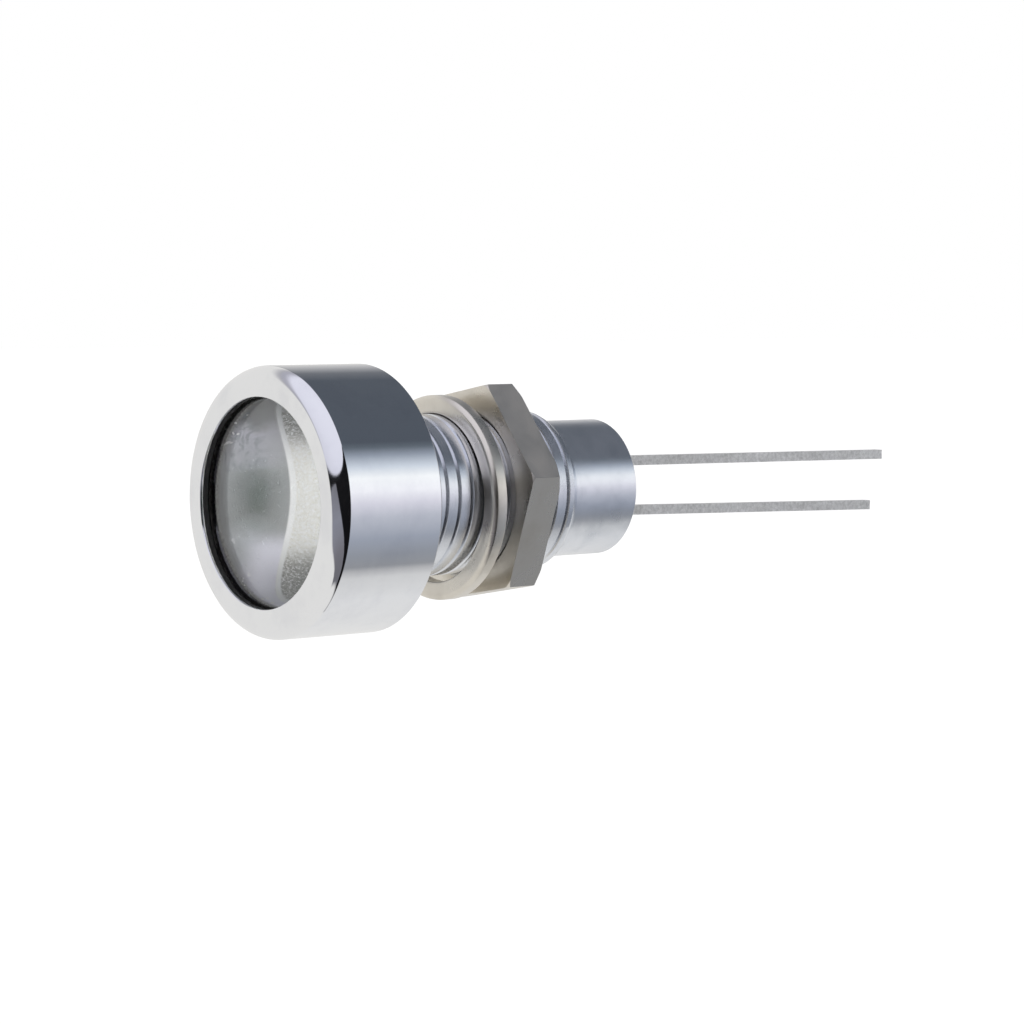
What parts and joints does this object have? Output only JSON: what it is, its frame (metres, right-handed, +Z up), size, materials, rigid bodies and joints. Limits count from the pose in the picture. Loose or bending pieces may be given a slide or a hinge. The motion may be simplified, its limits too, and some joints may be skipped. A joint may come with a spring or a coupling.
{
  "type": "panel pilot light",
  "caption": "Round metal panel pilot light: clear lens over a reflector in a chrome bezel, threaded shank with lock washer and hex nut, and two bare leads.",
  "frame": {"origin": "middle of the head's rear face, the one that seats on the front of the panel, on the axis of the shank", "axes": "+Y along the axis from the lens to the leads, +Z up, +X to the right when seen from the lens side"},
  "size_m": [0.013, 0.0413, 0.013],
  "materials": {
    "chrome_bezel": "polished chrome plate on turned brass, faint handling scratches",
    "black_seal": "black, slightly glossy",
    "clear_lens": "clear polished plastic",
    "bright_reflector": "bright metallised plastic with a slightly rough rim",
    "lamp_resin": "clear cast resin",
    "lamp_die": "semiconductor die",
    "gold_wire": "bare gold wire",
    "tinned_lead": "dull tin plate with fine specks",
    "potting_resin": "cured resin, slightly glossy",
    "nickel": "warm grey nickel plate, satin"
  },
  "bodies": {
    "lamp": {"bezel_head": "chrome_bezel", "threaded_shank": "chrome_bezel", "lens_seal": "black_seal", "lens": "clear_lens", "reflector": "bright_reflector", "lamp_body": "lamp_resin", "lamp_chip": "lamp_die", "bond_wire": "gold_wire", "anode_lead": "tinned_lead", "cathode_lead": "tinned_lead", "potting": "potting_resin"},
    "washer": {"lock_washer": "nickel"},
    "nut": {"hex_nut": "nickel"}
  },
  "joints": [
    {"name": "nut_advance", "type": "slide", "parent": "lamp", "child": "washer", "axis": [0, 1, 0], "range_m": [-0.00414, 0.00218]},
    {"name": "nut_turn", "type": "hinge", "parent": "washer", "child": "nut", "pos_m": [0, 0.00702, 0], "axis": [0, 1, 0], "range_deg": [-1988, 1047]}
  ],
  "couplings": [
    {"joint": "nut_turn", "follows": "nut_advance", "rad_per_m": 8377.6}
  ]
}
